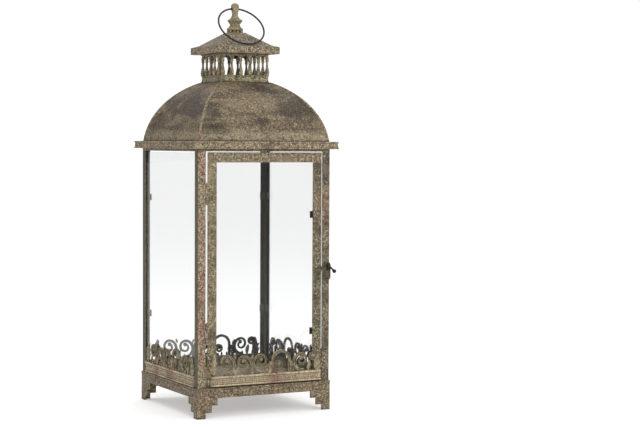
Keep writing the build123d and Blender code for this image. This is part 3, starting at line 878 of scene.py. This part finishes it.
# ---------------------------------------------------------------- scrollwork
@dataclass
class ScrollPanel:
    """A cast panel: a moulded band with C-scrolls, an arch, leaves and a rosette on it."""

    name: str
    node: str
    body: str
    side: Side
    left: float
    right: float
    low: float
    face: float
    mirrored: bool = False
    teeth: int = 0
    base: float = 66.0
    bar: float = 4.5
    depth: float = 2.8
    shrink: float = 0.64
    taper: float = 0.86
    arch: tuple[float, float, float] = (28.5, 19.0, 15.0)
    rosette: Point = (10.5, 13.5)
    bead_pitch: float = 4.0
    bead: tuple[float, float, float] = (1.4, 1.5, 1.8)
    bead_turn: float = 22.0
    wall: float = 1.2
    arch_sink: float = 1.0
    petals: int = 6
    petal_ring: float = 3.3
    scrolls: list[tuple[float, float, float, float, int, int]] = field(default_factory=lambda: [
        (-68.0, 16.5, 14.0, 255.0, 1, 3),
        (-37.5, 14.6, 13.8, 270.0, 1, 3),
        (-7.0, 15.0, 14.2, 270.0, -1, 3),
        (24.0, 9.4, 8.2, 270.0, -1, 3),
        (47.0, 8.2, 7.0, 270.0, 1, 3),
        (66.5, 14.6, 13.2, 285.0, -1, 3),
        (86.0, 20.0, 7.6, 285.0, 1, 3),
    ])
    leaves: list[tuple[float, float, float, float]] = field(default_factory=lambda: [
        (-53.0, 5.0, 18.0, 115.0), (-50.0, 6.0, 16.0, 62.0), (9.5, 5.0, 16.0, 62.0),
        (-22.5, 3.0, 14.0, 90.0), (-22.5, 27.0, 9.0, 70.0), (-53.0, 29.0, 9.0, 110.0),
        (52.0, 22.0, 12.0, 60.0), (56.5, 5.0, 14.0, 110.0), (78.0, 8.0, 18.0, 78.0),
        (44.0, 18.0, 10.0, 120.0), (4.0, 4.0, 12.0, 120.0),
    ])
    ends: tuple[Point, Point] = ((-90.0, 1.0), (94.0, -4.0))

    def bar_outline(self, centre: Vector, radius: float, angle: float) -> list[Vector]:
        """The grooved section of a bar, where it crosses a ring at an angle in degrees.

        Args:
            centre: the ring's middle.
            radius: the ring's radius.
            angle: where on the ring it lies, in degrees from +X.

        Returns:
            The points of the section, in order.
        """
        out = Vector((math.cos(math.radians(angle)), 0.0, math.sin(math.radians(angle))))
        section = [(-0.5, 0.0), (-0.49, 0.7), (-0.38, 1.0), (-0.26, 0.95), (-0.12, 0.5), (0.12, 0.5),
                   (0.26, 0.95), (0.38, 1.0), (0.49, 0.7), (0.5, 0.0)]
        return [centre + out * (radius + across * self.bar) + Vector((0.0, -up * self.depth, 0.0))
                for across, up in section]

    def scroll(self, draft: Draft, x: float, height: float, radius: float, start: float,
               hand: int, halves: int) -> None:
        """Add a scroll of half turns that shrink inwards to a round eye.

        Args:
            draft: the mesh to add to.
            x: middle of the outermost half turn.
            height: its height over the band.
            radius: its radius.
            start: the angle in degrees where it leaves the band.
            hand: 1 to curl anticlockwise, -1 clockwise.
            halves: number of half turns.
        """
        centre = Vector((x, 0.0, self.base + height))
        ring = draft.ring(self.bar_outline(centre, radius, start))
        draft.fill(ring)
        angle = start
        for _ in range(halves):
            ring = draft.spin(ring, centre, Vector((0.0, -hand, 0.0)), 180.0, 12)
            angle += 180.0
            out = Vector((math.cos(math.radians(angle)), 0.0, math.sin(math.radians(angle))))
            tip = centre + out * radius
            verts = corners(ring)
            bmesh.ops.scale(draft.mesh, verts=verts, vec=(self.taper, 0.96, self.taper),
                            space=Matrix.Translation(-tip))
            centre = tip - out * radius * self.shrink
            radius *= self.shrink
        draft.fill(ring)
        eye = self.bar * 0.78
        draft.ball(tip + Vector((0.0, -self.depth * 0.5, 0.0)),
                   Vector((eye, self.depth * 0.66, eye)), turns=12, rings=8)

    def high_arch(self, draft: Draft) -> None:
        """Add the tall arch: two straight legs and a half ring over them.

        Args:
            draft: the mesh to add to.
        """
        x, spring, radius = self.arch
        leg = spring + self.arch_sink
        spring_point = Vector((x, 0.0, self.base + spring))
        ring = draft.ring(self.bar_outline(spring_point, radius, 180.0))
        verts = corners(ring)
        bmesh.ops.translate(draft.mesh, verts=verts, vec=(0.0, 0.0, -leg))
        draft.fill(ring)
        ring = draft.push(ring, Vector((0.0, 0.0, leg)))
        ring = draft.spin(ring, spring_point, Vector((0.0, 1.0, 0.0)), 180.0, 16)
        draft.fill(draft.push(ring, Vector((0.0, 0.0, -leg))))

    def leaf(self, draft: Draft, x: float, height: float, length: float, lean: float,
             breadth: float = 0.2, curl: float = 0.2) -> None:
        """Add a veined leaf with pointed tips.

        Args:
            draft: the mesh to add to.
            x: middle of the leaf.
            height: its height over the band.
            length: tip to tip.
            lean: its direction, in degrees from +X.
            breadth: half its width, as a share of its length.
            curl: how far its tips bend to one side.
        """
        verts = bmesh.ops.create_uvsphere(
            draft.mesh, u_segments=12, v_segments=8, radius=1.0)["verts"]
        for vert in verts:
            if abs(vert.co.x) < 0.01 and vert.co.y < 0.0:
                vert.co.y *= 0.45
            vert.co.x = vert.co.x * (1.0 - 0.45 * vert.co.z ** 2) + curl * vert.co.z ** 2
        size = Vector((length * breadth, self.depth * 0.62, length / 2))
        place = (Matrix.Translation((x, -self.depth * 0.5, self.base + height))
                 @ Matrix.Rotation(math.radians(90.0 - lean), 4, "Y") @ Matrix.Diagonal((*size, 1.0)))
        bmesh.ops.transform(draft.mesh, matrix=place, verts=verts)

    def spray(self, draft: Draft, x: float, foot: float, hand: int) -> None:
        """Add the upright spray of leaves at an end of the panel, leaning by its hand."""
        for height, length, lean in ((16.0, 34.0, 86.0), (7.0, 18.0, 62.0), (7.0, 18.0, 118.0),
                                     (16.0, 14.0, 58.0), (17.0, 13.0, 124.0), (25.0, 11.0, 66.0)):
            sway = hand * (90.0 - lean) * 0.1
            self.leaf(draft, x + sway, foot + height, length, 90.0 + hand * (lean - 90.0), 0.15)

    def flower(self, draft: Draft) -> None:
        """Add the rosette between the scrolls and the arch.

        Args:
            draft: the mesh to add to.
        """
        x, height = self.rosette
        middle = Vector((x, -self.depth * 0.62, self.base + height))
        for i in range(self.petals):
            turn = math.tau * i / self.petals
            out = Vector((math.cos(turn), 0.0, math.sin(turn)))
            draft.ball(middle + out * self.petal_ring, Vector((2.7, 1.7, 1.9)),
                       tilt=-math.degrees(turn), turns=10, rings=6)
        draft.ball(middle + Vector((0.0, -0.7, 0.0)), Vector((2.1, 1.9, 2.1)), turns=10, rings=6)
        draft.block(Vector((x - 1.4, -self.depth * 0.7, self.base - 1.0)),
                    Vector((x + 1.4, 0.0, self.base + height)), 0.4)

    def band(self, draft: Draft) -> None:
        """Add the moulded band: a foot roll, a bead channel, a fillet and a top roll.

        Args:
            draft: the mesh to add to.
        """
        low, top = self.low, self.base
        steps = 6
        rolls = [(low + 1.9, 1.7, 1.3), (low + 5.0, 0.9, 1.2), (top - 5.4, 0.8, 1.1), (top - 2.1, 2.0, 1.2)]
        outline = [Vector((self.left, 0.0, low)), Vector((self.left, -self.wall, low))]
        for z, radius, bulge in rolls:
            for i in range(steps + 1):
                turn = math.pi * i / steps
                outward = self.wall + radius * bulge * math.sin(turn)
                outline.append(Vector((self.left, -outward, z - radius * math.cos(turn))))
        outline += [Vector((self.left, -self.wall, top)), Vector((self.left, 0.0, top))]
        draft.prism(outline, Vector((self.right - self.left, 0.0, 0.0)))
        middle = (low + 5.6 + top - 5.8) / 2
        count = int((self.right - self.left - 4.0) / self.bead_pitch)
        x = (self.left + self.right - (count - 1) * self.bead_pitch) / 2
        before = set(draft.mesh.faces)
        draft.ball(Vector((x, -1.4, middle)), Vector(self.bead), self.bead_turn, 7, 4)
        bead = [face for face in draft.mesh.faces if face not in before]
        draft.row(bead, Vector((self.bead_pitch, 0.0, 0.0)), count)

    def build(self, workshop: Workshop) -> None:
        """Make the band and the scrollwork as two pieces on one body.

        Args:
            workshop: finishes and delivers the pieces.
        """
        flip = Matrix.Diagonal((-1.0 if self.mirrored else 1.0, 1.0, 1.0, 1.0))
        place = self.side.turn() @ Matrix.Translation((0.0, -self.face, 0.0)) @ flip
        band = Draft()
        self.band(band)
        workshop.deliver(band, self.name + "_band", Finish.BAND, self.body,
                         (self.node,), place)
        work = Draft()
        for x, height, radius, start, hand, halves in self.scrolls:
            self.scroll(work, x, height, radius, start, hand, halves)
        self.high_arch(work)
        for x, height, length, lean in self.leaves:
            self.leaf(work, x, height, length, lean)
        if self.teeth:
            pitch = (self.right - self.left) / self.teeth
            before = set(work.mesh.faces)
            self.leaf(work, self.left + pitch / 2, 2.2, 8.0, 90.0, 0.22, 0.0)
            tooth = [face for face in work.mesh.faces if face not in before]
            work.row(tooth, Vector((pitch, 0.0, 0.0)), self.teeth)
        for hand, (x, foot) in zip((1, -1), self.ends):
            self.spray(work, x, foot, hand)
        self.flower(work)
        workshop.deliver(work, self.name + "_scrolls", Finish.CASTING, self.body,
                         (self.node,), place)


# ---------------------------------------------------------------- lid
@dataclass
class Gallery:
    """The turned trim of the chimney gallery, over its packed sides."""

    half: float = 41.0
    column_line: float = 39.5
    bays: int = 5
    band_low: float = 530.0
    band_top: float = 541.0
    top: float = 576.0
    rings: list[tuple[float, float, float, float]] = field(default_factory=lambda: [
        (542.0, 2.0, 3.5, 1.0), (552.0, 1.4, 3.0, 0.8), (554.6, 1.4, 2.5, 0.5), (564.2, 1.4, 3.1, 0.9),
    ])

    def columns(self, workshop: Workshop) -> None:
        """A foot ring, a waist ring and a capital on every baluster.

        Args:
            workshop: finishes and delivers the pieces.
        """
        draft = Draft()
        pitch = 2 * self.column_line / self.bays
        for side in Side:
            for i in range(self.bays):
                at = side.turn() @ Vector(((i - self.bays / 2) * pitch, -self.column_line, 0.0))
                for z, inner, outer, tall in self.rings:
                    outline = [(inner, z - tall), (outer - 0.5, z - tall), (outer, z),
                               (outer - 0.5, z + tall), (inner, z + tall)]
                    draft.collar(at, outline)
        workshop.deliver(draft, "gallery_rings", Finish.GALLERY)

    def mouldings(self, workshop: Workshop) -> None:
        """The rolls along the foot and the top of the band, and under the soffit.

        Args:
            workshop: finishes and delivers the pieces.
        """
        draft = Draft()
        draft.square_roll(self.half, half_round(self.band_low + 1.1, 1.1))
        draft.square_roll(self.half, half_round(self.band_top - 0.8, 0.8))
        draft.square_roll(self.half, half_round(self.top - 1.0, 1.0))
        workshop.deliver(draft, "gallery_mouldings", Finish.GALLERY)

    def build(self, workshop: Workshop) -> None:
        """Make both pieces."""
        self.columns(workshop)
        self.mouldings(workshop)


@dataclass
class Lid:
    """Rolls and lapped corners on the cap, the dome and the cornice."""

    cap_half: float = 54.5
    cap_low: float = 576.0
    cap_eave: float = 586.5
    dome_foot: float = 114.0
    cornice_low: float = 422.0
    cornice_top: float = 434.0
    cornice_half: float = 126.0

    def cap_trim(self, workshop: Workshop) -> None:
        """Hemmed edges round the cap's fascia and the folded laps at its corners.

        Args:
            workshop: finishes and delivers the pieces.
        """
        draft = Draft()
        draft.square_roll(self.cap_half, half_round(self.cap_eave - 0.1, 0.7, bulge=0.8))
        draft.square_roll(self.cap_half, half_round(self.cap_low + 0.7, 0.7, bulge=0.8))
        workshop.deliver(draft, "cap_hems", Finish.CAP)
        laps = Draft()
        edge = self.cap_half + 0.45
        for quarter in range(4):
            mark = len(laps.mesh.verts)
            laps.block(Vector((-edge, -edge, self.cap_low + 1.4)),
                       Vector((-edge + 3.2, -edge + 0.6, self.cap_eave - 0.8)), 0.18)
            laps.mesh.verts.ensure_lookup_table()
            bmesh.ops.rotate(laps.mesh, verts=laps.mesh.verts[mark:], cent=(0.0, 0.0, 0.0),
                             matrix=Matrix.Rotation(math.radians(90 * quarter), 3, "Z"))
        workshop.deliver(laps, "cap_laps", Finish.SEAMS)

    def cornice_trim(self, workshop: Workshop) -> None:
        """The rolls along the cornice's edges and round the foot of the dome.

        Args:
            workshop: finishes and delivers the pieces.
        """
        draft = Draft()
        draft.square_roll(self.cornice_half - 1.0, half_round(self.cornice_top - 1.5, 1.5, bulge=0.9))
        draft.square_roll(self.cornice_half, half_round(self.cornice_low + 1.0, 1.0, bulge=0.7))
        workshop.deliver(draft, "cornice_rolls", Finish.SHEET)
        foot = Draft()
        foot.square_roll(self.dome_foot, half_round(self.cornice_top + 1.0, 1.1, bulge=0.9))
        workshop.deliver(foot, "dome_foot_roll", Finish.SEAMS)

    def build(self, workshop: Workshop) -> None:
        """Make all the trim of the lid."""
        self.cap_trim(workshop)
        self.cornice_trim(workshop)


# ---------------------------------------------------------------- base and door
@dataclass
class BaseTrim:
    """The moulding under the posts."""

    half: float = 117.0
    top: float = 47.5

    def build(self, workshop: Workshop) -> None:
        """Make the roll along the top of the skirt.

        Args:
            workshop: finishes and delivers the pieces.
        """
        draft = Draft()
        draft.square_roll(self.half, half_round(self.top - 1.1, 1.1, bulge=0.8))
        draft.square_roll(self.half, half_round(self.top - 4.2, 0.6, bulge=0.8))
        workshop.deliver(draft, "skirt_rolls", Finish.BASE)


@dataclass
class DoorTrim:
    """The lapped joints of the door's frame."""

    left: float = -98.9
    right: float = 100.9
    stile: float = 15.0
    face: float = 115.5
    joint: float = 400.8

    def build(self, workshop: Workshop) -> None:
        """Make the edge of the top rail's lap over each stile.

        Args:
            workshop: finishes and delivers the pieces.
        """
        draft = Draft()
        for x in (self.left, self.right - self.stile):
            draft.block(Vector((x + 0.2, -self.face - 0.45, self.joint - 0.5)),
                        Vector((x + self.stile - 0.2, -self.face + 0.3, self.joint + 0.7)), 0.2)
        workshop.deliver(draft, "door_laps", Finish.SEAMS, "door")


# ---------------------------------------------------------------- studio
@dataclass
class Studio:
    """The floor, the soft lights and the camera."""

    floor_size: float = 60.0
    camera_place: Vector = field(default_factory=lambda: Vector((-1.133, -2.448, 0.4324)))
    azimuth: float = -27.83
    drop: float = 2.475
    roll: float = 0.28
    lens: float = 92.12
    aim_height: float = 0.35

    def floor(self) -> None:
        """A plain pale floor."""
        mesh = bmesh.new()
        bmesh.ops.create_grid(mesh, x_segments=1, y_segments=1, size=self.floor_size / 2)
        data = bpy.data.meshes.new("floor")
        mesh.to_mesh(data)
        mesh.free()
        plane = bpy.data.objects.new("floor", data)
        bpy.context.scene.collection.objects.link(plane)
        pale = bpy.data.materials.new("pale floor")
        pale.use_nodes = True
        shader = pale.node_tree.nodes["Principled BSDF"]
        shader.inputs["Base Color"].default_value = (0.66, 0.66, 0.655, 1.0)
        shader.inputs["Roughness"].default_value = 0.8
        shader.inputs["Emission Color"].default_value = (1.0, 1.0, 1.0, 1.0)
        shader.inputs["Emission Strength"].default_value = 0.37
        data.materials.append(pale)

    def lamp(self, name: str, place: Vector, size: float, power: float) -> None:
        """A square soft light aimed at the middle of the lantern.

        Args:
            name: the light's name.
            place: where it stands.
            size: its width and height.
            power: its power in watts.
        """
        data = bpy.data.lights.new(name, "AREA")
        data.size = size
        data.energy = power
        light = bpy.data.objects.new(name, data)
        bpy.context.scene.collection.objects.link(light)
        light.location = place
        aim = Vector((0.0, 0.0, self.aim_height)) - place
        light.rotation_euler = aim.to_track_quat("-Z", "Y").to_euler()

    def surround(self) -> None:
        """A white surround that lights the left side less, but is white to look at."""
        world = bpy.data.worlds.new("white surround")
        world.use_nodes = True
        w = Wiring(world.node_tree)
        background = world.node_tree.nodes["Background"]
        split = w.add("SeparateXYZ")
        w.feed(split.inputs[0], w.add("TexCoord").outputs["Generated"])
        level = w.ramp(split.outputs["X"], -0.8, 0.5, 0.3, 0.72)
        above = w.ramp(split.outputs["Z"], 0.0, 0.9, 0.0, 0.5)
        paths = w.add("LightPath")
        seen = w.maths("MAXIMUM", paths.outputs["Is Camera Ray"], paths.outputs["Is Transmission Ray"])
        strength = w.add("Mix", data_type="FLOAT")
        w.feed(strength.inputs[0], seen)
        w.feed(strength.inputs[2], w.maths("ADD", level, above))
        strength.inputs[3].default_value = 1.05
        background.inputs["Color"].default_value = (1.0, 1.0, 1.0, 1.0)
        w.feed(background.inputs["Strength"], strength.outputs[0])
        bpy.context.scene.world = world

    def lights(self) -> None:
        """The surround, a key light in front of the door, and a light overhead."""
        self.surround()
        self.lamp("key", Vector((-0.5, -3.2, 2.0)), 1.4, 50.0)
        self.lamp("left fill", Vector((-3.0, -1.2, 1.2)), 2.0, 9.0)
        self.lamp("top", Vector((0.2, 0.4, 3.2)), 2.6, 24.0)

    def camera(self) -> None:
        """The camera that faces the door's left corner from the height of the cornice."""
        data = bpy.data.cameras.new("camera")
        data.lens = self.lens
        data.sensor_width = 36.0
        data.clip_end = 200.0
        data.dof.use_dof = False
        eye = bpy.data.objects.new("camera", data)
        bpy.context.scene.collection.objects.link(eye)
        turn = Matrix.Rotation(math.radians(self.azimuth), 4, "Z")
        tilt = Matrix.Rotation(math.radians(90 - self.drop), 4, "X")
        roll = Matrix.Rotation(math.radians(self.roll), 4, "Z")
        eye.matrix_world = Matrix.Translation(self.camera_place) @ turn @ tilt @ roll
        bpy.context.scene.camera = eye
        bpy.context.scene.view_settings.view_transform = "Standard"

    def build(self) -> None:
        """Set up the whole studio."""
        self.floor()
        self.lights()
        self.camera()


def write_sizes() -> None:
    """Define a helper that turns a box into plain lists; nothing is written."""
    def plain(box: object) -> list[list[float]]:
        """A box as two lists of numbers."""
        return [[float(value) for value in corner] for corner in box]


def main() -> None:
    """Build the studio and every piece of the lantern in order."""
    logging.basicConfig(level=logging.INFO, format="%(name)s: %(message)s")
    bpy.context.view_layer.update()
    Studio().build()
    paint = Paint()
    FrameWork(paint).dress()
    workshop = Workshop(paint)
    flank = {"left": -102.5, "right": 102.5, "low": 47.5, "face": 114.0, "teeth": 21}
    ScrollPanel("door_casting", "door_scroll_panel", "door", Side.FRONT,
                left=-94.5, right=99.9, low=49.2, face=115.5).build(workshop)
    ScrollPanel("right_casting", "scroll_panel_right", "lantern", Side.RIGHT, **flank).build(workshop)
    ScrollPanel("back_casting", "scroll_panel_back", "lantern", Side.BACK,
                mirrored=True, **flank).build(workshop)
    ScrollPanel("left_casting", "scroll_panel_left", "lantern", Side.LEFT, **flank).build(workshop)
    Gallery().build(workshop)
    Lid().build(workshop)
    BaseTrim().build(workshop)
    DoorTrim().build(workshop)
    write_sizes()


if __name__ == "__main__":
    main()
